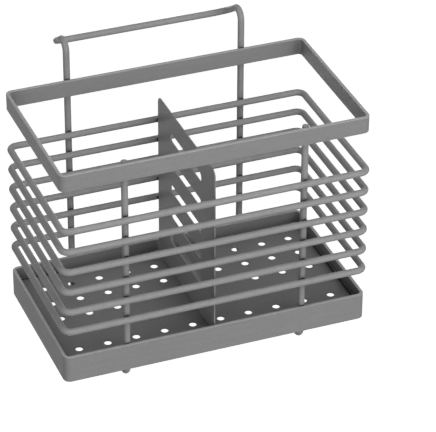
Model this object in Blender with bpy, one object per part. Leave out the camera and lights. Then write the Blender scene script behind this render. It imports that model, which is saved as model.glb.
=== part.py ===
"""Wall-mounted cutlery holder of coated steel.

Lengths are in metres, +Z is up and the front of the basket faces -Y.
Heights are kept from the lower edge of the base rim, and the whole
holder hangs so that the world origin is the line on which its two
hooks rest.
"""

import math

import bpy

# Basket body
body_width = 0.180
body_depth = 0.0975
contact_gap = 0.0003

# Flat bar loops at the top and at the base
bar_thickness = 0.0020
band_width = 0.1792
band_height = 0.0101
band_top_height = 0.1332
rim_height = 0.0163
bar_corner_radius = 0.0040
bar_edge_round = 0.0004
bar_corner_steps = 5

# Horizontal wire rings
wire_radius = 0.0020
wire_bevel_resolution = 4
ring_count = 6
top_ring_height = 0.0981
ring_pitch = 0.01295
ring_side_reach = 0.0009
ring_bend_radius = 0.0044
ring_bend_steps = 5

# Perforated floor plate
floor_thickness = 0.0007
floor_top_height = 0.0087
floor_corner_radius = 0.0015
floor_corner_steps = 3
drain_columns = 10
drain_rows = 5
drain_diameter = 0.0044
drain_side_margin = 0.0117
drain_front_margin = 0.0147
drain_steps = 12
drain_blank_half_count = 2
notch_steps = 8

# Divider plate
divider_thickness = 0.0008
divider_front_clearance = 0.0017
divider_top_height = 0.1147
divider_corner_radius = 0.0040
divider_corner_steps = 5
divider_edge_round = 0.0002
slot_count = 5
slot_height = 0.0054
slot_pitch = 0.0169
slot_side_margin = 0.0205
slot_top_margin = 0.0155
slot_end_steps = 6

# Hanger wire: four posts, four feet, two lower runs, two hooks and the back bar
post_spacing = 0.1045
foot_height = -0.0061
post_bend_radius = 0.0055
post_bend_steps = 6
hook_top_height = 0.1546
hook_bend_radius = 0.0053
hook_bend_steps = 9
arm_drop_angle = math.radians(32.5)
arm_length = 0.0092
bar_bend_radius = 0.0111
bar_bend_steps = 7

# Coated steel
coat_colour = (0.235, 0.235, 0.235, 1.0)
coat_roughness = 0.55
coat_metallic = 0.0

# Places that follow from the sizes above
half_width = body_width / 2
half_depth = body_depth / 2
band_inner_front = -half_depth + bar_thickness
front_post_y = band_inner_front + contact_gap + wire_radius
back_post_y = half_depth + contact_gap + wire_radius
ring_front_y = front_post_y - wire_radius - contact_gap - wire_radius
ring_back_y = back_post_y - wire_radius - contact_gap - wire_radius
post_x = post_spacing / 2
run_height = floor_top_height - floor_thickness - contact_gap - wire_radius
hook_centre_y = back_post_y + hook_bend_radius
hook_centre_height = hook_top_height - hook_bend_radius
hook_rest_height = hook_top_height - wire_radius
quarter_turn = math.pi / 2
half_turn = math.pi
full_turn = 2 * math.pi


def clear_scene():
    """Remove every object of the start scene."""
    for item in list(bpy.data.objects):
        bpy.data.objects.remove(item, do_unlink=True)


def new_collection(name):
    """Make a collection in the scene."""
    collection = bpy.data.collections.new(name)
    bpy.context.scene.collection.children.link(collection)
    return collection


def coat_material(name):
    """Make the coated steel material of one piece."""
    material = bpy.data.materials.new(name)
    material.use_nodes = True
    shader = material.node_tree.nodes["Principled BSDF"]
    shader.inputs["Base Color"].default_value = coat_colour
    shader.inputs["Roughness"].default_value = coat_roughness
    shader.inputs["Metallic"].default_value = coat_metallic
    return material


def arc(centre_x, centre_y, radius, start, turn, steps):
    """Points along a circular arc, both ends included."""
    points = []
    for step in range(steps + 1):
        angle = start + turn * step / steps
        x = centre_x + radius * math.cos(angle)
        y = centre_y + radius * math.sin(angle)
        points.append((x, y))
    return points


def rounded_rectangle(low_x, low_y, high_x, high_y, radius, steps):
    """Outline of a rectangle with four round corners."""
    corners = (
        (high_x - radius, high_y - radius),
        (low_x + radius, high_y - radius),
        (low_x + radius, low_y + radius),
        (high_x - radius, low_y + radius),
    )
    points = []
    for index, (x, y) in enumerate(corners):
        points += arc(x, y, radius, quarter_turn * index, quarter_turn, steps)
    return points


def circle(centre_x, centre_y, radius, steps):
    """Outline of a round hole."""
    points = arc(centre_x, centre_y, radius, 0, full_turn, steps)
    return points[:-1]


def stadium(low_x, high_x, centre_y, height, steps):
    """Outline of a long slot with round ends."""
    radius = height / 2
    right = arc(high_x - radius, centre_y, radius, -quarter_turn, half_turn, steps)
    left = arc(low_x + radius, centre_y, radius, quarter_turn, half_turn, steps)
    return right + left


def add_outline(curve, points):
    """Add one closed outline to a flat curve."""
    spline = curve.splines.new("POLY")
    spline.points.add(len(points) - 1)
    for point, (x, y) in zip(spline.points, points):
        point.co = (x, y, 0, 1)
    spline.use_cyclic_u = True


def flat_solid(name, outlines, thickness, edge_round, collection, frame):
    """Make a plate or an upright loop from closed outlines."""
    curve = bpy.data.curves.new(name, "CURVE")
    curve.dimensions = "2D"
    curve.fill_mode = "BOTH"
    curve.extrude = thickness / 2 - edge_round
    curve.bevel_depth = edge_round
    curve.bevel_resolution = 0
    curve.offset = -edge_round
    for points in outlines:
        add_outline(curve, points)
    return place_curve(name, curve, collection, frame)


def wire_solid(name, points, closed, collection, frame):
    """Make a round wire along a path of points."""
    curve = bpy.data.curves.new(name, "CURVE")
    curve.dimensions = "3D"
    curve.bevel_depth = wire_radius
    curve.bevel_resolution = wire_bevel_resolution
    curve.use_fill_caps = True
    spline = curve.splines.new("POLY")
    spline.points.add(len(points) - 1)
    sides = 2 * wire_bevel_resolution + 4
    for point, (x, y, z) in zip(spline.points, points):
        point.co = (x, y, z, 1)
        point.tilt = half_turn / sides
    spline.use_cyclic_u = closed
    spline.use_smooth = True
    return place_curve(name, curve, collection, frame)


def place_curve(name, curve, collection, frame):
    """Put a curve in the scene under the holder's frame."""
    curve.materials.append(coat_material(name))
    piece = bpy.data.objects.new(name, curve)
    collection.objects.link(piece)
    piece.parent = frame
    return piece


def bar_loop(name, width, lower_height, height, collection, frame):
    """Make a flat bar bent into a closed upright loop."""
    reach_x = width / 2
    outer = rounded_rectangle(
        -reach_x, -half_depth, reach_x, half_depth,
        bar_corner_radius, bar_corner_steps)
    inner = rounded_rectangle(
        -reach_x + bar_thickness, -half_depth + bar_thickness,
        reach_x - bar_thickness, half_depth - bar_thickness,
        bar_corner_radius - bar_thickness, bar_corner_steps)
    loop = flat_solid(
        name, [outer, inner], height, bar_edge_round, collection, frame)
    loop.location.z = lower_height + height / 2
    return loop


def wire_ring(index, collection, frame):
    """Make one horizontal wire ring, numbered from the top."""
    reach_x = half_width + ring_side_reach - wire_radius
    outline = rounded_rectangle(
        -reach_x, ring_front_y, reach_x, ring_back_y,
        ring_bend_radius, ring_bend_steps)
    points = [(x, y, 0) for x, y in outline]
    ring = wire_solid(
        "wire_ring_{}".format(index + 1), points, True, collection, frame)
    ring.location.z = top_ring_height - ring_pitch * index
    return ring


def floor_outline(reach_x, reach_y):
    """Outline of the floor plate, notched round the two front posts."""
    points = []
    notch_radius = wire_radius + contact_gap
    corners = (
        (reach_x - floor_corner_radius, reach_y - floor_corner_radius),
        (floor_corner_radius - reach_x, reach_y - floor_corner_radius),
        (floor_corner_radius - reach_x, floor_corner_radius - reach_y),
    )
    for index, (x, y) in enumerate(corners):
        points += arc(
            x, y, floor_corner_radius, quarter_turn * index,
            quarter_turn, floor_corner_steps)
    for side in (-1, 1):
        centre_x = side * post_x
        points.append((centre_x - notch_radius, -reach_y))
        points += arc(
            centre_x, front_post_y, notch_radius, half_turn,
            -half_turn, notch_steps)
        points.append((centre_x + notch_radius, -reach_y))
    points += arc(
        reach_x - floor_corner_radius, floor_corner_radius - reach_y,
        floor_corner_radius, -quarter_turn, quarter_turn,
        floor_corner_steps)
    return points


def drain_holes(reach_x, reach_y):
    """Outlines of the drain holes, none at the middle of the middle row."""
    span_x = 2 * (reach_x - drain_side_margin)
    span_y = 2 * (reach_y - drain_front_margin)
    middle_row = (drain_rows - 1) / 2
    middle_column = (drain_columns - 1) / 2
    holes = []
    for row in range(drain_rows):
        for column in range(drain_columns):
            offset = abs(column - middle_column)
            if row == middle_row and offset < drain_blank_half_count:
                continue
            x = span_x * (column / (drain_columns - 1)) - span_x / 2
            y = span_y * (row / (drain_rows - 1)) - span_y / 2
            holes.append(circle(x, y, drain_diameter / 2, drain_steps))
    return holes


def floor_plate(collection, frame):
    """Make the perforated floor that sits inside the base rim."""
    reach_x = half_width - bar_thickness - contact_gap
    reach_y = half_depth - bar_thickness - contact_gap
    outlines = [floor_outline(reach_x, reach_y)]
    outlines += drain_holes(reach_x, reach_y)
    plate = flat_solid(
        "floor_plate", outlines, floor_thickness, 0, collection, frame)
    plate.location.z = floor_top_height - floor_thickness / 2
    return plate


def divider_plate(collection, frame):
    """Make the slotted upright divider at the middle of the basket."""
    front = ring_front_y + wire_radius + divider_front_clearance
    back = ring_back_y - wire_radius - contact_gap
    foot = floor_top_height + contact_gap
    outline = [(back, foot)]
    outline += arc(
        back - divider_corner_radius,
        divider_top_height - divider_corner_radius,
        divider_corner_radius, 0, quarter_turn, divider_corner_steps)
    outline += arc(
        front + divider_corner_radius,
        divider_top_height - divider_corner_radius,
        divider_corner_radius, quarter_turn, quarter_turn,
        divider_corner_steps)
    outline.append((front, foot))
    outlines = [outline]
    for index in range(slot_count):
        centre = divider_top_height - slot_top_margin - slot_pitch * index
        outlines.append(stadium(
            front + slot_side_margin, back - slot_side_margin,
            centre, slot_height, slot_end_steps))
    plate = flat_solid(
        "divider_plate", outlines, divider_thickness, divider_edge_round,
        collection, frame)
    plate.location.x = -divider_thickness / 2
    plate.rotation_euler = (quarter_turn, 0, quarter_turn)
    return plate


def front_foot():
    """Front post, its foot and the bend on to the run, as (y, height)."""
    bend = post_bend_radius
    points = [(front_post_y, band_top_height)]
    points += arc(
        front_post_y + bend, foot_height + bend, bend,
        half_turn, half_turn, 2 * post_bend_steps)
    points += arc(
        front_post_y + 3 * bend, run_height - bend, bend,
        half_turn, -quarter_turn, post_bend_steps)
    return points


def back_foot():
    """End of the run, back foot and foot of the back post, as (y, height)."""
    bend = post_bend_radius
    points = arc(
        back_post_y - 3 * bend, run_height - bend, bend,
        quarter_turn, -quarter_turn, post_bend_steps)
    points += arc(
        back_post_y - bend, foot_height + bend, bend,
        half_turn, half_turn, 2 * post_bend_steps)
    return points


def hook_bend():
    """The bend over the top of one hook, as (y, height) points."""
    return arc(
        hook_centre_y, hook_centre_height, hook_bend_radius,
        half_turn, -quarter_turn - arm_drop_angle, hook_bend_steps)


def hanger_side():
    """Path of the wire's right half, from the front post to the bar."""
    flat_path = front_foot() + back_foot() + hook_bend()
    side = [(post_x, y, z) for y, z in flat_path]
    arm_y = math.cos(arm_drop_angle)
    arm_z = -math.sin(arm_drop_angle)
    corner_y = side[-1][1] + arm_length * arm_y
    corner_z = side[-1][2] + arm_length * arm_z
    turn = arc(0, 0, bar_bend_radius, 0, quarter_turn, bar_bend_steps)
    for inward, along in turn:
        x = post_x - bar_bend_radius + inward
        y = corner_y + along * arm_y
        z = corner_z + along * arm_z
        side.append((x, y, z))
    return side


def hanger_wire(collection, frame):
    """Make the one bent wire that carries the basket."""
    right = hanger_side()
    left = [(-x, y, z) for x, y, z in reversed(right)]
    return wire_solid("hanger_wire", right + left, False, collection, frame)


def build():
    """Build the whole holder."""
    clear_scene()
    collection = new_collection("cutlery_holder")
    frame = bpy.data.objects.new("holder_frame", None)
    collection.objects.link(frame)
    frame.location = (0, -hook_centre_y, -hook_rest_height)
    bar_loop(
        "top_band", band_width, band_top_height - band_height, band_height,
        collection, frame)
    for index in range(ring_count):
        wire_ring(index, collection, frame)
    bar_loop("base_rim", body_width, 0, rim_height, collection, frame)
    floor_plate(collection, frame)
    divider_plate(collection, frame)
    hanger_wire(collection, frame)
    bpy.context.view_layer.update()


build()
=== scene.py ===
"""Studio scene of a wall-mounted cutlery holder of powder-coated steel.

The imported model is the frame. Each of its pieces is modelled again in the
same place with the detail of the real one: flat bar bent into loops, wire
bent into rings and into a hanger, a punched floor, a slotted divider, the
welds between them and a satin grey coat over all of it.

Lengths are in metres. Heights in the dataclasses are kept from the lower
edge of the base rim, and Layout.place puts them into the holder's frame.
"""

import logging
import math
from contextlib import contextmanager
from dataclasses import dataclass
from enum import Enum
from typing import Callable, Iterator

import bmesh
import bpy
from mathutils import Matrix, Vector
from mathutils.bvhtree import BVHTree


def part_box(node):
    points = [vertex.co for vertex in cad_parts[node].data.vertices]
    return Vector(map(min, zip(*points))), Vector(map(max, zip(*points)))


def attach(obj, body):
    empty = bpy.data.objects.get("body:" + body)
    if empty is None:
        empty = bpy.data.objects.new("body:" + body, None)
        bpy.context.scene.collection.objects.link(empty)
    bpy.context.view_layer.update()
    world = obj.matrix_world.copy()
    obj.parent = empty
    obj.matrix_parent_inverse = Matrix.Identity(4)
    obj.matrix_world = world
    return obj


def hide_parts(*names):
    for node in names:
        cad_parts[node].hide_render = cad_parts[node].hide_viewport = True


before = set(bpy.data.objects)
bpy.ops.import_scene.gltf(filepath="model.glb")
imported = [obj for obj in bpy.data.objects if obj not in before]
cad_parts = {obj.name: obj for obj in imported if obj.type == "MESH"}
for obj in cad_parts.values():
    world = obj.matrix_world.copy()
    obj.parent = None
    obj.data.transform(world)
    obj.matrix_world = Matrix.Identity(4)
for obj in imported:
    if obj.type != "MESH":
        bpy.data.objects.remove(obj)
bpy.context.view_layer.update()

LOG = logging.getLogger("cutlery_holder")
ROOT = "root"
# Mask of the rounded edges that the coat's shader paints with a highlight.
HIGHLIGHT_EDGE_MASK = "painted_highlight_edges"
# Occlusion mask that the coat's shader turns into painted shade in corners and
# crossings.
OCCLUSION_SHADE_MASK = "painted_occlusion_shade"
RIGHT = Vector((1.0, 0.0, 0.0))
BACK = Vector((0.0, 1.0, 0.0))
UP = Vector((0.0, 0.0, 1.0))
QUARTER = math.pi / 2
HALF = math.pi

# Cosine above which a direction counts as lying along an axis.
ALIGNED = 0.9
# Points of a mesh that are nearer than this are merged.
MERGE_GAP = 0.00002
# Angles, in degrees, from which an edge is rounded or stays sharp.
ROUNDED_FROM = 40
SHEET_CREASE = 35
WIRE_CREASE = 50

WHITE = (1.0, 1.0, 1.0, 1.0)
# Numbers of the Mix node's two colour inputs and of its colour output.
MIX_FIRST, MIX_SECOND, MIX_COLOUR = 6, 7, 2
# The value about which the noise textures vary.
NOISE_MIDDLE = 0.5

Piece = bpy.types.Object
Shape = tuple[float, float, float]
Test = Callable[[Vector, Vector], bool]


class Stock(Enum):
    """Kinds of coated steel stock, named as the record's material slots."""

    FLAT_BAR = "flat_bar"
    WIRE = "wire"
    SHEET = "sheet"


class Pick(Enum):
    """What a selection in edit mode is made of."""

    VERTS = "VERT"
    EDGES = "EDGE"
    FACES = "FACE"


def along(axis: Vector) -> Test:
    """Make the test of the edges or faces that point along an axis.

    Args:
        axis: The axis, either way round.

    Returns:
        The test, for Bench.pick.
    """
    return lambda middle, direction: abs(direction.dot(axis)) > ALIGNED


# ---------------------------------------------------------------- workbench


class Bench:
    """The modelling operators, each with its selection made first."""

    @staticmethod
    def clear() -> None:
        """Deselect every object."""
        bpy.ops.object.select_all(action="DESELECT")

    @staticmethod
    def only(piece: Piece) -> None:
        """Make one piece the only selected and active object.

        Args:
            piece: The piece.
        """
        Bench.clear()
        piece.select_set(True)
        bpy.context.view_layer.objects.active = piece

    @staticmethod
    def adopt(name: str) -> Piece:
        """Name the primitive just added and put its place into its mesh.

        Args:
            name: The new name of the object and of its mesh.

        Returns:
            The piece, with its object at the origin, unturned and unscaled.
        """
        piece = bpy.context.active_object
        piece.name = name
        piece.data.name = name
        bpy.ops.object.transform_apply(
            location=True, rotation=True, scale=True)
        return piece

    @staticmethod
    def block(name: str, low: Vector, high: Vector) -> Piece:
        """Add a rectangular block between two corners.

        Args:
            name: Name of the block.
            low: Its lowest corner.
            high: Its highest corner.

        Returns:
            The block.
        """
        Bench.clear()
        bpy.ops.mesh.primitive_cube_add(
            size=1.0, location=(low + high) / 2, scale=high - low)
        return Bench.adopt(name)

    @staticmethod
    def ring(
        name: str, centre: Vector, facing: Vector, radius: float, sides: int
    ) -> Piece:
        """Add an open circle of edges.

        Args:
            name: Name of the circle.
            centre: Its middle.
            facing: Direction of its axis.
            radius: Its radius.
            sides: Number of its edges.

        Returns:
            The circle.
        """
        Bench.clear()
        bpy.ops.mesh.primitive_circle_add(
            vertices=sides, radius=radius, fill_type="NOTHING",
            location=centre,
            rotation=facing.to_track_quat("Z", "Y").to_euler())
        return Bench.adopt(name)

    @staticmethod
    @contextmanager
    def editing(piece: Piece) -> Iterator[None]:
        """Hold one piece in edit mode.

        Args:
            piece: The piece to edit.

        Yields:
            Nothing, with the piece in edit mode.
        """
        Bench.only(piece)
        bpy.ops.object.mode_set(mode="EDIT")
        yield
        bpy.ops.object.mode_set(mode="OBJECT")

    @staticmethod
    def pick(piece: Piece, kind: Pick, test: Test) -> None:
        """Select the parts of a piece in edit mode that pass a test.

        Args:
            piece: The piece, in edit mode.
            kind: What is selected.
            test: Called with the middle and the normal of a face, the
                middle and the direction of an edge, or the place and the
                normal of a vertex.
        """
        bpy.ops.mesh.select_mode(type=kind.value)
        bpy.ops.mesh.select_all(action="DESELECT")
        mesh = bmesh.from_edit_mesh(piece.data)
        if kind is Pick.FACES:
            items = [(f, f.calc_center_median(), f.normal) for f in mesh.faces]
        elif kind is Pick.EDGES:
            items = [
                (e, (e.verts[0].co + e.verts[1].co) / 2,
                 (e.verts[1].co - e.verts[0].co).normalized())
                for e in mesh.edges]
        else:
            items = [(v, v.co, v.normal) for v in mesh.verts]
        for item, middle, direction in items:
            item.select_set(test(middle, direction))
        mesh.select_flush_mode()
        bmesh.update_edit_mesh(piece.data)

    @staticmethod
    def extrude(step: Vector) -> None:
        """Draw out by one step what is selected in edit mode."""
        bpy.ops.mesh.extrude_region_move(
            TRANSFORM_OT_translate={"value": step})

    @staticmethod
    def cap() -> None:
        """Close the circle in edit mode with a face."""
        bpy.ops.mesh.select_all(action="SELECT")
        bpy.ops.mesh.edge_face_add()

    @staticmethod
    def face_out() -> None:
        """Turn the faces of the piece in edit mode outwards."""
        bpy.ops.mesh.select_all(action="SELECT")
        bpy.ops.mesh.normals_make_consistent(inside=False)

    @staticmethod
    def modify(piece: Piece, kind: str, **settings: object) -> None:
        """Add one modifier and apply it.

        Args:
            piece: The piece to change.
            kind: The modifier's type.
            **settings: Its settings by name.
        """
        Bench.only(piece)
        modifier = piece.modifiers.new(kind.lower(), kind)
        for name, value in settings.items():
            setattr(modifier, name, value)
        bpy.ops.object.modifier_apply(modifier=modifier.name)

    @staticmethod
    def discard(*pieces: Piece) -> None:
        """Remove pieces that only the making needed."""
        for piece in pieces:
            bpy.data.objects.remove(piece, do_unlink=True)

    @staticmethod
    def cut(piece: Piece, cutter: Piece) -> None:
        """Take a cutter out of a piece, and remove the cutter.

        Args:
            piece: The piece.
            cutter: The cutter, a closed mesh.
        """
        Bench.modify(
            piece, "BOOLEAN", operation="DIFFERENCE", solver="EXACT",
            object=cutter)
        Bench.discard(cutter)

    @staticmethod
    def copy(model: Piece, matrix: Matrix) -> Piece:
        """Copy a piece with a mesh of its own.

        Args:
            model: The piece to copy.
            matrix: Where the copy's mesh is moved to.

        Returns:
            The copy, with its object at the origin.
        """
        twin = model.copy()
        twin.data = model.data.copy()
        twin.data.transform(matrix)
        bpy.context.scene.collection.objects.link(twin)
        return twin

    @staticmethod
    def join(name: str, parts: list[Piece]) -> Piece:
        """Join several pieces into one.

        Args:
            name: Name of the result.
            parts: The pieces, the first of which takes in the others.

        Returns:
            The joined piece.
        """
        Bench.only(parts[0])
        for part in parts:
            part.select_set(True)
        bpy.ops.object.join()
        parts[0].name = name
        parts[0].data.name = name
        return parts[0]

    @staticmethod
    def round_corners(
        piece: Piece, test: Test, radius: float, steps: int
    ) -> None:
        """Round the edges of a piece that pass a test.

        Args:
            piece: The piece.
            test: The test, as pick calls it for edges.
            radius: Radius of the corners.
            steps: Number of faces round each corner.
        """
        with Bench.editing(piece):
            Bench.pick(piece, Pick.EDGES, test)
            bpy.ops.mesh.bevel(offset=radius, segments=steps, affect="EDGES")

    @staticmethod
    def wall(piece: Piece, thickness: float) -> None:
        """Keep only the upright sides of a block, and make them a wall.

        Args:
            piece: The block.
            thickness: Thickness of the wall, inwards from the sides.
        """
        with Bench.editing(piece):
            Bench.pick(piece, Pick.FACES, along(UP))
            bpy.ops.mesh.delete(type="ONLY_FACE")
        Bench.modify(
            piece, "SOLIDIFY", thickness=thickness, offset=-1.0,
            use_even_offset=True, use_rim=True)

    @staticmethod
    def round_edges(piece: Piece, radius: float, steps: int) -> None:
        """Round the sharp edges of a piece.

        Args:
            piece: The piece.
            radius: Radius of the round.
            steps: Number of faces across it.
        """
        Bench.modify(
            piece, "BEVEL", width=radius, segments=steps,
            limit_method="ANGLE", angle_limit=math.radians(ROUNDED_FROM),
            miter_outer="MITER_SHARP", use_clamp_overlap=True)

    @staticmethod
    def write_mask(piece: Piece, name: str, mask: list[float]) -> None:
        """Write one value for each vertex, which the coat's shader reads."""
        layer = piece.data.attributes.new(name, "FLOAT", "POINT")
        layer.data.foreach_set("value", mask)

    @staticmethod
    def mark_edges(
        piece: Piece, on_edge: Callable[[bmesh.types.BMVert], bool]
    ) -> None:
        """Write the mask of the edges that the coat paints with a highlight.

        Args:
            piece: The piece, rounded already.
            on_edge: Tells for a vertex whether it lies on an edge that gets
                the painted highlight.
        """
        mesh = bmesh.new()
        mesh.from_mesh(piece.data)
        mask = [float(on_edge(vert)) for vert in mesh.verts]
        mesh.free()
        Bench.write_mask(piece, HIGHLIGHT_EDGE_MASK, mask)

    @staticmethod
    def narrow(vert: bmesh.types.BMVert, width: float) -> bool:
        """Tell whether all the faces round a vertex are narrow.

        Args:
            vert: The vertex.
            width: What counts as narrow.

        Returns:
            True where none of the faces is that wide.
        """
        return all(
            face.calc_area() / max(edge.calc_length() for edge in face.edges)
            < width for face in vert.link_faces)

    @staticmethod
    def slice(piece: Piece, pitch: Vector) -> None:
        """Cut the faces of a flat piece small enough to carry the masks.

        Args:
            piece: The piece.
            pitch: Distance between the cuts along each axis, 0 for none.
        """
        low, high = Bench.box(piece)
        with Bench.editing(piece):
            bpy.ops.mesh.select_mode(type="FACE")
            for axis, start, end, step in zip(
                    (RIGHT, BACK, UP), low, high, pitch):
                count = round((end - start) / step) if step else 0
                for index in range(1, count):
                    depth = start + (end - start) * index / count
                    bpy.ops.mesh.select_all(action="SELECT")
                    bpy.ops.mesh.bisect(plane_co=axis * depth, plane_no=axis)

    @staticmethod
    def box(piece: Piece) -> tuple[Vector, Vector]:
        """Find the lowest and the highest corner of a piece's mesh."""
        spread = list(zip(*(vertex.co for vertex in piece.data.vertices)))
        return Vector(map(min, spread)), Vector(map(max, spread))

    @staticmethod
    def crease(piece: Piece, angle: float) -> None:
        """Shade a piece smooth up to an angle in degrees."""
        Bench.only(piece)
        bpy.ops.object.shade_smooth_by_angle(angle=math.radians(angle))

    @staticmethod
    def smooth(piece: Piece, angle: float) -> None:
        """Shade a piece smooth up to an angle, with its flats kept flat.

        Args:
            piece: The piece.
            angle: Edges sharper than this stay sharp, in degrees.
        """
        Bench.crease(piece, angle)
        Bench.modify(
            piece, "WEIGHTED_NORMAL", mode="FACE_AREA", weight=50,
            keep_sharp=True)


# ------------------------------------------------------------------ shaders


def grey(level: float) -> tuple[float, float, float, float]:
    """Write a neutral grey as an opaque colour."""
    return (level, level, level, 1.0)


class Value:
    """A number in a shader tree that Python sums can be written with."""

    def __init__(self, tree: "ShaderTree", socket: bpy.types.NodeSocket):
        """Wrap one output socket of a tree."""
        self.tree = tree
        self.socket = socket

    def _math(
        self, operation: str, first: "Value | float", second: "Value | float"
    ) -> "Value":
        """Add one Math node.

        Args:
            operation: The node's operation.
            first: Its first value.
            second: Its second value.

        Returns:
            The node's result.
        """
        node = self.tree.node(
            "ShaderNodeMath", {"operation": operation}, {0: first, 1: second})
        return Value(self.tree, node.outputs[0])

    def __add__(self, other: "Value | float") -> "Value":
        """Sum of this value and another."""
        return self._math("ADD", self, other)

    __radd__ = __add__

    def __sub__(self, other: "Value | float") -> "Value":
        """This value less another."""
        return self._math("SUBTRACT", self, other)

    def __rsub__(self, other: "Value | float") -> "Value":
        """Another value less this one."""
        return self._math("SUBTRACT", other, self)

    def __mul__(self, other: "Value | float") -> "Value":
        """Product of this value and another."""
        return self._math("MULTIPLY", self, other)

    __rmul__ = __mul__

    def __or__(self, other: "Value | float") -> "Value":
        """The larger of this value and another."""
        return self._math("MAXIMUM", self, other)


class ShaderTree:
    """The node tree of a new material, or of the world."""

    def __init__(self, owner: "bpy.types.Material | bpy.types.World"):
        """Clear the owner's nodes and start its tree.

        Args:
            owner: The material or world.
        """
        owner.use_nodes = True
        self.tree = owner.node_tree
        self.tree.nodes.clear()

    def node(
        self, kind: str, settings: "dict | None" = None,
        sockets: "dict | None" = None
    ) -> bpy.types.Node:
        """Add one node of any type.

        Args:
            kind: The node's type.
            settings: Its settings, which are made first.
            sockets: Values or links of its inputs, by name or number.

        Returns:
            The node.
        """
        node = self.tree.nodes.new(kind)
        for name, setting in (settings or {}).items():
            setattr(node, name, setting)
        for key, value in (sockets or {}).items():
            if isinstance(value, Value):
                value = value.socket
            if isinstance(value, bpy.types.NodeSocket):
                self.tree.links.new(value, node.inputs[key])
            else:
                node.inputs[key].default_value = value
        return node

    def value(
        self, kind: str, output: "str | int", settings: "dict | None" = None,
        sockets: "dict | None" = None
    ) -> Value:
        """Add one node and take one of its outputs as a number.

        Args:
            kind: The node's type.
            output: Name or number of the output.
            settings: The node's settings.
            sockets: Values or links of its inputs.

        Returns:
            The output, ready for sums.
        """
        node = self.node(kind, settings, sockets)
        return Value(self, node.outputs[output])

    def noise(
        self, place: bpy.types.NodeSocket, size: float, detail: float
    ) -> Value:
        """Noise whose lumps have a given size.

        Args:
            place: The coordinates that it reads.
            size: Rough size of one lump.
            detail: Number of finer layers.

        Returns:
            The noise, about 0 to 1.
        """
        return self.value(
            "ShaderNodeTexNoise", "Fac", {"noise_dimensions": "3D"},
            {"Vector": place, "Scale": 1 / size, "Detail": detail})

    def mix(
        self, share: Value, first: "tuple | bpy.types.NodeSocket",
        second: "tuple | bpy.types.NodeSocket", clamp: bool = True
    ) -> bpy.types.NodeSocket:
        """Mix two colours.

        Args:
            share: Share of the second colour.
            first: The first colour.
            second: The second colour.
            clamp: Whether the share stays between 0 and 1.

        Returns:
            The mixed colour.
        """
        node = self.node(
            "ShaderNodeMix", {"data_type": "RGBA", "clamp_factor": clamp},
            {"Factor": share, MIX_FIRST: first, MIX_SECOND: second})
        return node.outputs[MIX_COLOUR]

    def mask(self, name: str) -> Value:
        """Read one of the masks that the pieces carry."""
        return self.value(
            "ShaderNodeAttribute", "Fac", {"attribute_name": name})


@dataclass(frozen=True)
class PowderCoat:
    """Satin grey powder coat, baked on one kind of steel stock."""

    name: str
    grey: float
    streak: tuple[float, float, float]
    streak_depth: float = 0.26
    spread: float = 0.30
    roughness: float = 0.50
    specular: float = 0.08
    refraction: float = 1.5
    streak_detail: float = 2.0
    cloud_size: float = 0.030
    cloud_detail: float = 3.0
    cloud_depth: float = 0.10
    cloud_gloss: float = 0.08
    grain_size: float = 0.00035
    grain_detail: float = 1.0
    grain_depth: float = 0.16
    grain_gloss: float = 0.10
    peel_size: float = 0.0016
    peel_detail: float = 1.5
    peel_depth: float = 0.24
    peel_share: float = 0.65
    bump_height: float = 0.00006
    # Painted highlight: share by which the colour is lifted along the rounded
    # edges, and how much glossier they are.
    edge_highlight: float = 0.50
    edge_gloss: float = 0.04
    # Painted shade in corners and crossings: the near-black grey, its share
    # over the occlusion mask, its extra share where the mask is deepest, and
    # the roughness added there.
    shade_grey: float = 0.020
    shade_haze: float = 0.55
    shade_line: float = 4.0
    crevice_dull: float = 0.20

    def material(self) -> bpy.types.Material:
        """Make the coat's material.

        Returns:
            A material with cloudy tone, faint lengthwise streaks, fine grain
            and orange peel, a painted highlight along the rounded edges, and
            painted shade, darker and duller, in the corners and crossings that
            the occlusion mask finds.
        """
        material = bpy.data.materials.new(self.name)
        tree = ShaderTree(material)
        place = tree.node("ShaderNodeTexCoord").outputs["Object"]
        cloud = tree.noise(place, self.cloud_size, self.cloud_detail)
        grain = tree.noise(place, self.grain_size, self.grain_detail)
        peel = tree.noise(place, self.peel_size, self.peel_detail)
        stretched = tree.node(
            "ShaderNodeVectorMath", {"operation": "DIVIDE"},
            {0: place, 1: self.streak}).outputs["Vector"]
        streak = tree.noise(stretched, 1.0, self.streak_detail)
        # Painted highlight along the rounded edges, added to the tone.
        edge = tree.mask(HIGHLIGHT_EDGE_MASK)
        tone = (
            0.5 + (cloud - NOISE_MIDDLE) * self.cloud_depth
            + (streak - NOISE_MIDDLE) * self.streak_depth
            + (peel - NOISE_MIDDLE) * self.peel_depth
            + (grain - NOISE_MIDDLE) * self.grain_depth
            + edge * self.edge_highlight)
        coat = tree.mix(
            tone, grey(self.grey * (1 - self.spread)),
            grey(self.grey * (1 + self.spread)), clamp=False)
        # Painted shade: the occlusion mask mixes a near-black grey into the
        # coat, faintly over the whole mask and strongly where it is deepest,
        # and makes the coat duller there.
        crevice = tree.mask(OCCLUSION_SHADE_MASK)
        square = crevice * crevice
        shaded = crevice * self.shade_haze + square * square * self.shade_line
        colour = tree.mix(shaded, coat, grey(self.shade_grey))
        dullness = (
            self.roughness + (cloud - NOISE_MIDDLE) * self.cloud_gloss
            + (grain - NOISE_MIDDLE) * self.grain_gloss
            - edge * self.edge_gloss + crevice * self.crevice_dull)
        height = peel * self.peel_share + grain * (1 - self.peel_share)
        relief = tree.node(
            "ShaderNodeBump", None,
            {"Strength": 1.0, "Distance": self.bump_height, "Height": height})
        shader = tree.node(
            "ShaderNodeBsdfPrincipled", None,
            {"Base Color": colour, "Roughness": dullness, "Metallic": 0.0,
             "IOR": self.refraction, "Specular IOR Level": self.specular,
             "Normal": relief.outputs["Normal"]})
        tree.node(
            "ShaderNodeOutputMaterial", None,
            {"Surface": shader.outputs["BSDF"]})
        return material


# ------------------------------------------------------------------- holder


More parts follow.
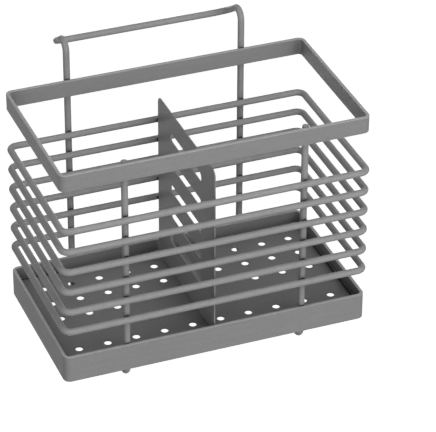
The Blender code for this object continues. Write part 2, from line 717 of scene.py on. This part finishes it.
@dataclass(frozen=True)
class Layout:
    """Sizes and places that several pieces of the holder share."""

    rest_y: float = -0.05635
    rest_height: float = -0.1526
    wire_radius: float = 0.00192
    wire_sides: int = 28
    post_x: float = 0.05225
    front_post_y: float = -0.04445
    back_post_y: float = 0.05105
    ring_heights: tuple[float, ...] = (
        0.0981, 0.08515, 0.0722, 0.05925, 0.0463, 0.03335)
    ring_front_y: float = -0.04875
    ring_back_y: float = 0.04675
    floor_top: float = 0.0087

    def place(self, x: float, y: float, height: float) -> Vector:
        """Put a point of the basket into the holder's frame.

        Args:
            x: Distance to the right of the middle.
            y: Distance behind the middle of the basket.
            height: Height over the lower edge of the base rim.

        Returns:
            The point in the holder's frame.
        """
        return Vector((x, y + self.rest_y, height + self.rest_height))


LAYOUT = Layout()


@dataclass
class CoatedPiece:
    """Dresses the pieces of one sub-assembly."""

    coat: bpy.types.Material
    stock: Stock

    def dress(self, piece: Piece, *nodes: str) -> Piece:
        """Give a piece its coat, its body and the nodes it stands for.

        Args:
            piece: The finished piece.
            *nodes: CAD nodes that it replaces.

        Returns:
            The piece.
        """
        piece.data.materials.clear()
        piece.data.materials.append(self.coat)
        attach(piece, ROOT)
        if nodes:
            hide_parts(*nodes)
        LOG.info("%s: %d faces", piece.name, len(piece.data.polygons))
        return piece


@dataclass
class BarLoop(CoatedPiece):
    """A flat bar bent into a closed upright loop."""

    node: str
    thickness: float = 0.0020
    corner_radius: float = 0.0040
    corner_steps: int = 10
    edge_round: float = 0.0004
    edge_steps: int = 3
    mask_pitch: Vector = Vector((0.004, 0.004, 0.003))

    def build(self) -> Piece:
        """Bend the bar round its four corners and round its edges.

        Returns:
            The loop.
        """
        low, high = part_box(self.node)
        loop = Bench.block(self.node + "_bar", low, high)
        Bench.round_corners(
            loop, along(UP), self.corner_radius, self.corner_steps)
        Bench.wall(loop, self.thickness)
        Bench.round_edges(loop, self.edge_round, self.edge_steps)
        # Painted highlight on the rounded upper and lower edges of the bar.
        Bench.mark_edges(
            loop, lambda vert: min(vert.co.z - low.z, high.z - vert.co.z)
            < self.edge_round / 2)
        Bench.slice(loop, self.mask_pitch)
        Bench.smooth(loop, SHEET_CREASE)
        return self.dress(loop, self.node)


@dataclass
class WireBender:
    """Feeds out a round wire, straight or in a bend, as a wire former does."""

    radius: float
    sides: int
    pitch: float = 0.0022
    piece: "Piece | None" = None
    here: Vector = Vector()
    heading: Vector = Vector()

    def start(self, name: str, here: Vector, heading: Vector) -> None:
        """Clamp the wire's end.

        Args:
            name: Name of the wire.
            here: Where its end is.
            heading: Direction in which it is fed.
        """
        self.here, self.heading = here.copy(), heading.normalized()
        self.piece = Bench.ring(name, here, heading, self.radius, self.sides)
        Bench.only(self.piece)
        bpy.ops.object.mode_set(mode="EDIT")
        bpy.ops.mesh.select_mode(type="EDGE")
        bpy.ops.mesh.select_all(action="SELECT")

    def straight(self, length: float) -> None:
        """Feed out a straight run.

        Args:
            length: Length of the run.
        """
        count = max(1, round(length / self.pitch))
        step = self.heading * (length / count)
        for _ in range(count):
            Bench.extrude(step)
        self.here = self.here + step * count

    def bend(
        self, towards: Vector, radius: float, angle: float, steps: int
    ) -> None:
        """Bend the wire round a former.

        Args:
            towards: Direction of the former's middle, square to the wire.
            radius: Radius of the bend at the wire's middle.
            angle: Angle of the bend.
            steps: Number of faces along it.
        """
        centre = self.here + towards * radius
        axis = self.heading.cross(towards)
        bpy.ops.mesh.spin(
            steps=steps, angle=-angle, center=centre, axis=axis)
        turn = Matrix.Rotation(angle, 3, axis)
        self.here = centre + turn @ (self.here - centre)
        self.heading = turn @ self.heading

    def close(self) -> Piece:
        """Weld the wire's two ends, which meet, and free it.

        Returns:
            The closed wire.
        """
        bpy.ops.mesh.select_all(action="SELECT")
        bpy.ops.mesh.remove_doubles(threshold=MERGE_GAP)
        Bench.face_out()
        bpy.ops.object.mode_set(mode="OBJECT")
        return self.piece


@dataclass
class WireRings(CoatedPiece):
    """Six closed rings of round wire, one above the other."""

    reach_x: float = 0.0889
    bend_radius: float = 0.0044
    bend_steps: int = 10

    def build(self) -> list[Piece]:
        """Bend the first ring and copy it down for the others.

        Returns:
            The rings, from the highest down.
        """
        top = LAYOUT.ring_heights[0]
        depth = LAYOUT.ring_back_y - LAYOUT.ring_front_y
        side = depth - 2 * self.bend_radius
        half_run = self.reach_x - self.bend_radius
        wire = WireBender(LAYOUT.wire_radius, LAYOUT.wire_sides)
        wire.start(
            "ring_wire_1", LAYOUT.place(0.0, LAYOUT.ring_back_y, top), -RIGHT)
        wire.straight(half_run)
        for towards, run in (
                (-BACK, side), (RIGHT, 2 * half_run), (BACK, side),
                (-RIGHT, half_run)):
            wire.bend(towards, self.bend_radius, QUARTER, self.bend_steps)
            wire.straight(run)
        first = wire.close()
        Bench.only(first)
        bpy.ops.object.shade_smooth()
        rings = [first]
        for index, height in enumerate(LAYOUT.ring_heights[1:], start=2):
            ring = Bench.copy(first, Matrix.Translation((0, 0, height - top)))
            ring.name = ring.data.name = "ring_wire_{}".format(index)
            rings.append(ring)
        for index, ring in enumerate(rings, start=1):
            self.dress(ring, "wire_ring_{}".format(index))
        return rings


@dataclass
class HangerWire(CoatedPiece):
    """The one wire of posts, feet, lower runs, hooks and back bar."""

    post_top: float = 0.1332
    foot_height: float = -0.0061
    foot_radius: float = 0.0055
    run_height: float = 0.0057
    hook_top: float = 0.15457
    hook_radius: float = 0.0053
    arm_drop: float = 32.5
    arm_length: float = 0.0092
    bar_radius: float = 0.0111
    tip_round: float = 0.0006
    tip_steps: int = 4
    tip_reach: float = 0.00202
    pitch: float = 0.0011
    foot_steps: int = 16
    hook_steps: int = 16
    bar_steps: int = 12

    def side(self, wire: WireBender) -> None:
        """Feed out the right half, from the front post to the back bar.

        Args:
            wire: The bender, which holds the front post's tip.
        """
        foot_middle = self.foot_height + self.foot_radius
        rise = self.run_height - self.foot_radius - foot_middle
        run = (
            LAYOUT.back_post_y - LAYOUT.front_post_y - 6 * self.foot_radius)
        hook_middle = self.hook_top - self.hook_radius
        wire.straight(self.post_top - foot_middle)
        wire.bend(BACK, self.foot_radius, HALF, self.foot_steps)
        wire.straight(rise)
        wire.bend(BACK, self.foot_radius, QUARTER, self.foot_steps // 2)
        wire.straight(run)
        wire.bend(-UP, self.foot_radius, QUARTER, self.foot_steps // 2)
        wire.straight(rise)
        wire.bend(BACK, self.foot_radius, HALF, self.foot_steps)
        wire.straight(hook_middle - foot_middle)
        wire.bend(
            BACK, self.hook_radius, QUARTER + math.radians(self.arm_drop),
            self.hook_steps)
        wire.straight(self.arm_length)
        wire.bend(-RIGHT, self.bar_radius, QUARTER, self.bar_steps)

    def build(self) -> Piece:
        """Bend the right half, mirror it and join both at the back bar.

        Returns:
            The hanger.
        """
        start = LAYOUT.place(LAYOUT.post_x, LAYOUT.front_post_y, self.post_top)
        wire = WireBender(
            LAYOUT.wire_radius, LAYOUT.wire_sides, pitch=self.pitch)
        wire.start("hanger_wire_bent", start, -UP)
        self.side(wire)
        wire.straight(wire.here.x)
        piece = wire.piece
        Bench.pick(
            piece, Pick.VERTS,
            lambda place, out: (place - start).length < self.tip_reach)
        bpy.ops.mesh.select_mode(type="EDGE")
        bpy.ops.mesh.edge_face_add()
        bpy.ops.mesh.bevel(
            offset=self.tip_round, segments=self.tip_steps, affect="EDGES")
        Bench.face_out()
        bpy.ops.object.mode_set(mode="OBJECT")
        Bench.modify(
            piece, "MIRROR", use_axis=(True, False, False),
            use_mirror_merge=True, merge_threshold=MERGE_GAP)
        with Bench.editing(piece):
            Bench.face_out()
        Bench.crease(piece, WIRE_CREASE)
        return self.dress(piece, "hanger_wire")


@dataclass
class FloorPlate(CoatedPiece):
    """The punched floor, and the seam by which the rim holds it."""

    corner_radius: float = 0.0015
    corner_steps: int = 5
    columns: int = 10
    rows: int = 5
    blank_half_count: int = 2
    hole_radius: float = 0.0022
    hole_sides: int = 24
    side_margin: float = 0.0117
    front_margin: float = 0.0147
    notch_radius: float = 0.0023
    edge_round: float = 0.00012
    edge_steps: int = 2
    mask_pitch: Vector = Vector((0.003, 0.003, 0.0))
    seam_reach: Vector = Vector((0.0004, 0.0004, 0.0))
    seam_width: float = 0.0007
    seam_rise: float = 0.0004
    seam_round: float = 0.00032
    seam_steps: int = 3
    seam_crease: float = 60

    def punch(self, low: Vector, high: Vector) -> Piece:
        """Make the cutter of all the drain holes and post notches.

        Args:
            low: The plate's lowest corner.
            high: The plate's highest corner.

        Returns:
            The cutter.
        """
        middle = (low + high) / 2
        span_x = high.x - low.x - 2 * self.side_margin
        span_y = high.y - low.y - 2 * self.front_margin
        model = self.drill("punch", middle, self.hole_radius, high.z - low.z)
        pins = []
        for row in range(self.rows):
            for column in range(self.columns):
                offset = abs(column - (self.columns - 1) / 2)
                if (row == (self.rows - 1) / 2
                        and offset < self.blank_half_count):
                    continue
                x = span_x * (column / (self.columns - 1) - 0.5)
                y = span_y * (row / (self.rows - 1) - 0.5)
                pins.append(
                    Bench.copy(model, Matrix.Translation((x, y, 0.0))))
        notch = self.drill(
            "notch", LAYOUT.place(0.0, LAYOUT.front_post_y, LAYOUT.floor_top),
            self.notch_radius, high.z - low.z)
        for side in (-1, 1):
            pins.append(Bench.copy(
                notch, Matrix.Translation((side * LAYOUT.post_x, 0.0, 0.0))))
        Bench.discard(model, notch)
        return Bench.join("floor_punches", pins)

    def drill(
        self, name: str, middle: Vector, radius: float, thickness: float
    ) -> Piece:
        """Make one upright round cutter.

        Args:
            name: Name of the cutter.
            middle: Its middle.
            radius: Its radius.
            thickness: Thickness of the sheet that it goes through.

        Returns:
            The cutter.
        """
        reach = UP * thickness * 2
        pin = Bench.ring(name, middle - reach, UP, radius, self.hole_sides)
        with Bench.editing(pin):
            Bench.cap()
            Bench.extrude(reach * 2)
            Bench.face_out()
        return pin

    def plate(self) -> Piece:
        """Cut the sheet, punch it and break its edges.

        Returns:
            The plate.
        """
        low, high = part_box("floor_plate")
        plate = Bench.block("floor_sheet", low, high)
        Bench.round_corners(
            plate, along(UP), self.corner_radius, self.corner_steps)
        Bench.cut(plate, self.punch(low, high))
        Bench.round_edges(plate, self.edge_round, self.edge_steps)
        # Painted highlight on the rounded edges of the plate and its holes.
        Bench.mark_edges(
            plate, lambda vert: Bench.narrow(vert, self.edge_round))
        Bench.slice(plate, self.mask_pitch)
        Bench.smooth(plate, SHEET_CREASE)
        return self.dress(plate, "floor_plate")

    def seam(self) -> Piece:
        """Lay the fine seam of weld and coat between plate and rim.

        Returns:
            The seam.
        """
        low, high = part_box("floor_plate")
        reach, rise = self.seam_reach, UP * self.seam_rise
        seam = Bench.block("floor_seam", low - reach, high + reach + rise)
        Bench.round_corners(
            seam, along(UP), self.corner_radius + reach.x, self.corner_steps)
        Bench.wall(seam, self.seam_width)
        Bench.round_edges(seam, self.seam_round, self.seam_steps)
        Bench.smooth(seam, self.seam_crease)
        return self.dress(seam)

    def build(self) -> list[Piece]:
        """Make the plate and its seam."""
        return [self.plate(), self.seam()]


@dataclass
class DividerPlate(CoatedPiece):
    """The upright sheet with long slots that parts the basket."""

    corner_radius: float = 0.0040
    corner_steps: int = 10
    slot_count: int = 5
    slot_height: float = 0.0054
    slot_pitch: float = 0.0169
    slot_side_margin: float = 0.0205
    slot_top_margin: float = 0.0155
    slot_end_radius: float = 0.00269
    edge_round: float = 0.0002
    edge_steps: int = 2
    mask_pitch: Vector = Vector((0.0, 0.004, 0.004))

    def slots(self, low: Vector, high: Vector) -> Piece:
        """Make the cutter of the long slots.

        Args:
            low: The sheet's lowest corner.
            high: The sheet's highest corner.

        Returns:
            The cutter.
        """
        top = high.z - self.slot_top_margin + self.slot_height / 2
        slot = Bench.block(
            "slot",
            Vector((low.x * 2 - high.x, low.y + self.slot_side_margin,
                    top - self.slot_height)),
            Vector((high.x * 2 - low.x, high.y - self.slot_side_margin, top)))
        Bench.round_corners(
            slot, along(RIGHT), self.slot_end_radius, self.corner_steps)
        cutters = [
            Bench.copy(
                slot, Matrix.Translation((0.0, 0.0, -self.slot_pitch * index)))
            for index in range(self.slot_count)]
        Bench.discard(slot)
        return Bench.join("slot_cutters", cutters)

    def build(self) -> Piece:
        """Cut the sheet, round its top corners and punch its slots.

        Returns:
            The sheet.
        """
        low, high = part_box("divider_plate")
        sheet = Bench.block("divider_sheet", low, high)
        Bench.round_corners(
            sheet,
            lambda middle, direction: along(RIGHT)(middle, direction)
            and middle.z > (low.z + high.z) / 2,
            self.corner_radius, self.corner_steps)
        Bench.cut(sheet, self.slots(low, high))
        Bench.round_edges(sheet, self.edge_round, self.edge_steps)
        # Painted highlight on the rounded edges of the sheet and its slots.
        Bench.mark_edges(
            sheet, lambda vert: Bench.narrow(vert, self.edge_round))
        Bench.slice(sheet, self.mask_pitch)
        Bench.smooth(sheet, SHEET_CREASE)
        return self.dress(sheet, "divider_plate")


@dataclass
class Welds(CoatedPiece):
    """Weld beads where the wires, loops and sheets touch."""

    bead_radius: float = 0.00110
    bead_reach: float = 0.00060
    bead_sides: int = 14
    waist: tuple[float, ...] = (0.92, 0.90, 0.97)
    band_height: float = 0.12815
    band_shape: Shape = (0.8, 1.0, 4.0)
    rim_height: float = 0.00815
    rim_shape: Shape = (0.8, 1.0, 6.0)
    bar_places: tuple[float, ...] = (-0.0466, 0.0489)
    run_height: float = 0.0079
    run_places: tuple[float, ...] = (-0.0200, 0.0250)
    run_shape: Shape = (1.6, 5.0, 0.35)
    divider_back_y: float = 0.0446
    divider_shape: Shape = (0.6, 0.9, 1.2)
    foot_x: float = 0.0006
    foot_places: tuple[float, ...] = (-0.0300, 0.0, 0.0300)
    foot_shape: Shape = (0.45, 6.0, 0.6)

    def bead(self) -> Piece:
        """Model one bead at the origin, its axis along Y.

        Returns:
            A short round bead with a waist, closed at both ends.
        """
        bead = Bench.ring(
            "bead", BACK * -self.bead_reach, BACK, self.bead_radius,
            self.bead_sides)
        shares = (*self.waist, *(1 / share for share in self.waist[::-1]))
        step = BACK * self.bead_reach * 2 / len(shares)
        with Bench.editing(bead):
            Bench.cap()
            for share in shares:
                Bench.extrude(step)
                bpy.ops.transform.resize(value=(share, 1.0, share))
            Bench.face_out()
        return bead

    @staticmethod
    def spot(
        x: float, y: float, height: float, shape: Shape = (1.0, 1.0, 1.0)
    ) -> Matrix:
        """Say where one bead goes.

        Args:
            x: Its place to the right of the middle.
            y: Its place behind the middle.
            height: Its height over the rim's lower edge.
            shape: How much wider, longer and higher it is than the model.

        Returns:
            The matrix that puts the model bead there.
        """
        return (
            Matrix.Translation(LAYOUT.place(x, y, height))
            @ Matrix.Diagonal((*shape, 1.0)))

    def spots(self) -> list[Matrix]:
        """List the beads of the posts, the runs and the divider.

        Returns:
            One matrix for each bead.
        """
        spots = []
        front = (LAYOUT.ring_front_y + LAYOUT.front_post_y) / 2
        back = (LAYOUT.ring_back_y + LAYOUT.back_post_y) / 2
        for x in (-LAYOUT.post_x, LAYOUT.post_x):
            for height in LAYOUT.ring_heights:
                for y in (front, back):
                    spots.append(self.spot(x, y, height))
            for y in self.bar_places:
                spots.append(
                    self.spot(x, y, self.band_height, self.band_shape))
                spots.append(self.spot(x, y, self.rim_height, self.rim_shape))
            for y in self.run_places:
                spots.append(self.spot(x, y, self.run_height, self.run_shape))
        for height in LAYOUT.ring_heights:
            spots.append(self.spot(
                0.0, self.divider_back_y, height, self.divider_shape))
        for y in self.foot_places:
            spots.append(self.spot(
                self.foot_x, y, LAYOUT.floor_top, self.foot_shape))
        return spots

    def build(self) -> Piece:
        """Model one bead, copy it to every spot and join the copies.

        Returns:
            All the beads as one piece.
        """
        model = self.bead()
        beads = [Bench.copy(model, spot) for spot in self.spots()]
        Bench.discard(model)
        welds = Bench.join("weld_beads", beads)
        Bench.crease(welds, WIRE_CREASE)
        return self.dress(welds)


@dataclass
class PaintedOcclusion:
    """Finds the corners and crossings that other pieces shut in, for painted
    shade.

    From each point of the coat, short feelers go out all round. The share of
    them that another piece or wall stops, weighed by how near it is, is the
    occlusion mask with which the coat's shader paints shade into its colour
    and makes it duller.
    """

    reach: float = 0.016
    feelers: int = 24
    lift: float = 0.00003

    def fan(self) -> list[Vector]:
        """List the feelers' directions about an upright normal.

        Returns:
            The directions, denser towards the normal.
        """
        golden = math.pi * (3 - math.sqrt(5))
        fan = []
        for index in range(self.feelers):
            share = (index + 0.5) / self.feelers
            out = math.sqrt(share)
            fan.append(Vector((
                out * math.cos(index * golden), out * math.sin(index * golden),
                math.sqrt(1 - share))))
        return fan

    def mark(self, pieces: list[Piece]) -> None:
        """Write the painted-shade occlusion mask on every piece.

        Args:
            pieces: All the pieces of the holder, finished.
        """
        places, faces = [], []
        for piece in pieces:
            first = len(places)
            places.extend(vertex.co.copy() for vertex in piece.data.vertices)
            faces.extend(
                [first + corner for corner in face.vertices]
                for face in piece.data.polygons)
        walls = BVHTree.FromPolygons(places, faces)
        fan = self.fan()
        for piece in pieces:
            mask = []
            for vertex in piece.data.vertices:
                start = vertex.co + vertex.normal * self.lift
                turn = vertex.normal.to_track_quat("Z", "Y").to_matrix()
                shut = 0.0
                # A stopped feeler adds to the painted shade, more the nearer
                # the wall.
                for feeler in fan:
                    far = walls.ray_cast(start, turn @ feeler, self.reach)[3]
                    if far is not None:
                        shut += 1 - far / self.reach
                mask.append(shut / self.feelers)
            Bench.write_mask(piece, OCCLUSION_SHADE_MASK, mask)
            LOG.info("%s: deepest crevice %.2f", piece.name, max(mask))


class Holder:
    """The whole holder, built piece by piece."""

    def __init__(self) -> None:
        """Mix the coats: one real grey coat, made up as copies whose greys
        differ as painted light.
        """
        # The bar's grey is the coat's own; the wire copy is lighter, a painted
        # highlight, and the floor and divider copies are darker, painted
        # shade. The bar copy also carries the strongest painted edge highlight
        # and corner shade.
        self.bar = PowderCoat(
            "bar_coat", grey=0.235, streak=(0.025, 0.025, 0.0010),
            edge_highlight=0.92, shade_haze=1.1, shade_line=2.0).material()
        self.wire = PowderCoat(
            "wire_coat", grey=0.274, streak=(0.004, 0.004, 0.004)).material()
        self.floor = PowderCoat(
            "floor_coat", grey=0.212, streak=(0.025, 0.0012, 0.0012),
            shade_line=2.2).material()
        self.divider = PowderCoat(
            "divider_coat", grey=0.230, streak=(0.0012, 0.020, 0.0012),
            shade_haze=0.05, shade_line=0.8).material()

    def build(self) -> None:
        """Build every sub-assembly in order."""
        pieces = [
            BarLoop(self.bar, Stock.FLAT_BAR, node="top_band").build(),
            BarLoop(self.bar, Stock.FLAT_BAR, node="base_rim").build(),
            *WireRings(self.wire, Stock.WIRE).build(),
            HangerWire(self.wire, Stock.WIRE).build(),
            *FloorPlate(self.floor, Stock.SHEET).build(),
            DividerPlate(self.divider, Stock.SHEET).build(),
            Welds(self.wire, Stock.WIRE).build()]
        # Occlusion mask for the painted shade in corners and crossings.
        PaintedOcclusion().mark(pieces)


# ------------------------------------------------------------------- studio


def bearing(azimuth: float, elevation: float) -> Vector:
    """Turn two angles into a direction.

    Args:
        azimuth: Degrees to the right of straight in front.
        elevation: Degrees over the horizon.

    Returns:
        The direction from the holder, one metre long.
    """
    turn, rise = math.radians(azimuth), math.radians(elevation)
    return Vector((
        math.sin(turn) * math.cos(rise), -math.cos(turn) * math.cos(rise),
        math.sin(rise)))


@dataclass(frozen=True)
class SoftBox:
    """A soft square lamp that faces the holder."""

    name: str
    azimuth: float
    elevation: float
    power: float
    distance: float = 1.3
    size: float = 1.0

    def build(self, target: Vector) -> None:
        """Hang the lamp.

        Args:
            target: The point that it faces.
        """
        away = bearing(self.azimuth, self.elevation)
        data = bpy.data.lights.new(self.name, "AREA")
        data.shape = "SQUARE"
        data.size = self.size
        data.energy = self.power
        lamp = bpy.data.objects.new(self.name, data)
        lamp.location = target + away * self.distance
        lamp.rotation_euler = away.to_track_quat("Z", "Y").to_euler()
        lamp.visible_camera = False
        bpy.context.scene.collection.objects.link(lamp)


@dataclass(frozen=True)
class Studio:
    """Pale floor and plain soft light."""

    floor_height: float = -2.0
    floor_size: float = 40.0
    floor_grey: float = 0.80
    floor_light: float = 1.0
    ambient: float = 0.03
    target: Vector = Vector((0.0, -0.05, -0.08))
    lamps: tuple[SoftBox, ...] = (
        SoftBox("front_lamp", 15.0, 4.0, 9.6),
        SoftBox("front_left_lamp", -40.0, 0.0, 3.9),
        SoftBox("left_lamp", -90.0, 34.0, 4.0),
        SoftBox("top_lamp", -20.0, 62.0, 4.6),
        SoftBox("right_lamp", 35.0, 45.0, 6.4),
        SoftBox("back_lamp", 150.0, 20.0, 3.0),
        SoftBox("back_low_lamp", 165.0, -15.0, 11.5),
    )

    @staticmethod
    def seen(tree: ShaderTree) -> Value:
        """Mask of the rays that see the background as white.

        Args:
            tree: The tree that the mask belongs to.

        Returns:
            1 for rays from the camera, off gloss or through glass, else 0.
        """
        path = tree.node("ShaderNodeLightPath")
        camera = Value(tree, path.outputs["Is Camera Ray"])
        glossy = Value(tree, path.outputs["Is Glossy Ray"])
        clear = Value(tree, path.outputs["Is Transmission Ray"])
        return camera | glossy | clear

    def world(self) -> None:
        """Make the world white to the camera and dim as a light."""
        world = bpy.data.worlds.new("studio_world")
        bpy.context.scene.world = world
        tree = ShaderTree(world)
        white = tree.node(
            "ShaderNodeBackground", None,
            {"Color": WHITE, "Strength": 1.0})
        dim = tree.node(
            "ShaderNodeBackground", None,
            {"Color": WHITE, "Strength": self.ambient})
        mix = tree.node(
            "ShaderNodeMixShader", None,
            {0: self.seen(tree), 1: dim.outputs[0], 2: white.outputs[0]})
        tree.node("ShaderNodeOutputWorld", None, {"Surface": mix.outputs[0]})

    def floor(self) -> None:
        """Lay the pale floor far under the holder."""
        Bench.clear()
        bpy.ops.mesh.primitive_plane_add(
            size=self.floor_size, location=(0.0, 0.0, self.floor_height))
        floor = Bench.adopt("studio_floor")
        material = bpy.data.materials.new("studio_floor")
        tree = ShaderTree(material)
        pale = tree.node(
            "ShaderNodeBsdfDiffuse", None, {"Color": grey(self.floor_grey)})
        glow = tree.node(
            "ShaderNodeEmission", None,
            {"Color": WHITE, "Strength": self.floor_light})
        lit = tree.node(
            "ShaderNodeAddShader", None,
            {0: pale.outputs[0], 1: glow.outputs[0]})
        mix = tree.node(
            "ShaderNodeMixShader", None,
            {0: self.seen(tree), 1: pale.outputs[0], 2: lit.outputs[0]})
        tree.node(
            "ShaderNodeOutputMaterial", None, {"Surface": mix.outputs[0]})
        floor.data.materials.append(material)

    def build(self) -> None:
        """Set up the world, the floor and the lamps."""
        self.world()
        self.floor()
        for lamp in self.lamps:
            lamp.build(self.target)
            LOG.info("%s: %.1f W", lamp.name, lamp.power)


@dataclass(frozen=True)
class PhotoCamera:
    """The camera at the photograph's place and angle."""

    aim: Vector = Vector((0.0192128, -0.05635, -0.0970961))
    azimuth: float = -21.412084
    elevation: float = 32.438559
    roll: float = 0.339280
    distance: float = 1.534805
    lens: float = 223.4965
    sensor_width: float = 36.0
    shift: float = 0.5 / 436
    nearest: float = 0.05
    farthest: float = 60.0

    def build(self) -> None:
        """Place the camera and make it the scene's own."""
        roll = math.radians(self.roll)
        back = bearing(self.azimuth, self.elevation)
        right = (-back).cross(UP).normalized()
        top = right.cross(-back)
        side = right * math.cos(roll) + top * math.sin(roll)
        high = top * math.cos(roll) - right * math.sin(roll)
        data = bpy.data.cameras.new("photo_camera")
        data.lens = self.lens
        data.sensor_width = self.sensor_width
        data.shift_x = -self.shift
        data.shift_y = self.shift
        data.clip_start = self.nearest
        data.clip_end = self.farthest
        camera = bpy.data.objects.new("photo_camera", data)
        turn = Matrix((side, high, back)).transposed().to_4x4()
        camera.matrix_world = (
            Matrix.Translation(self.aim + back * self.distance) @ turn)
        bpy.context.scene.collection.objects.link(camera)
        bpy.context.scene.camera = camera


def main() -> None:
    """Build the holder, the studio and the camera."""
    logging.basicConfig(level=logging.INFO, format="%(name)s: %(message)s")
    bpy.context.scene.view_settings.view_transform = "Standard"
    Holder().build()
    Studio().build()
    PhotoCamera().build()


if __name__ == "__main__":
    main()
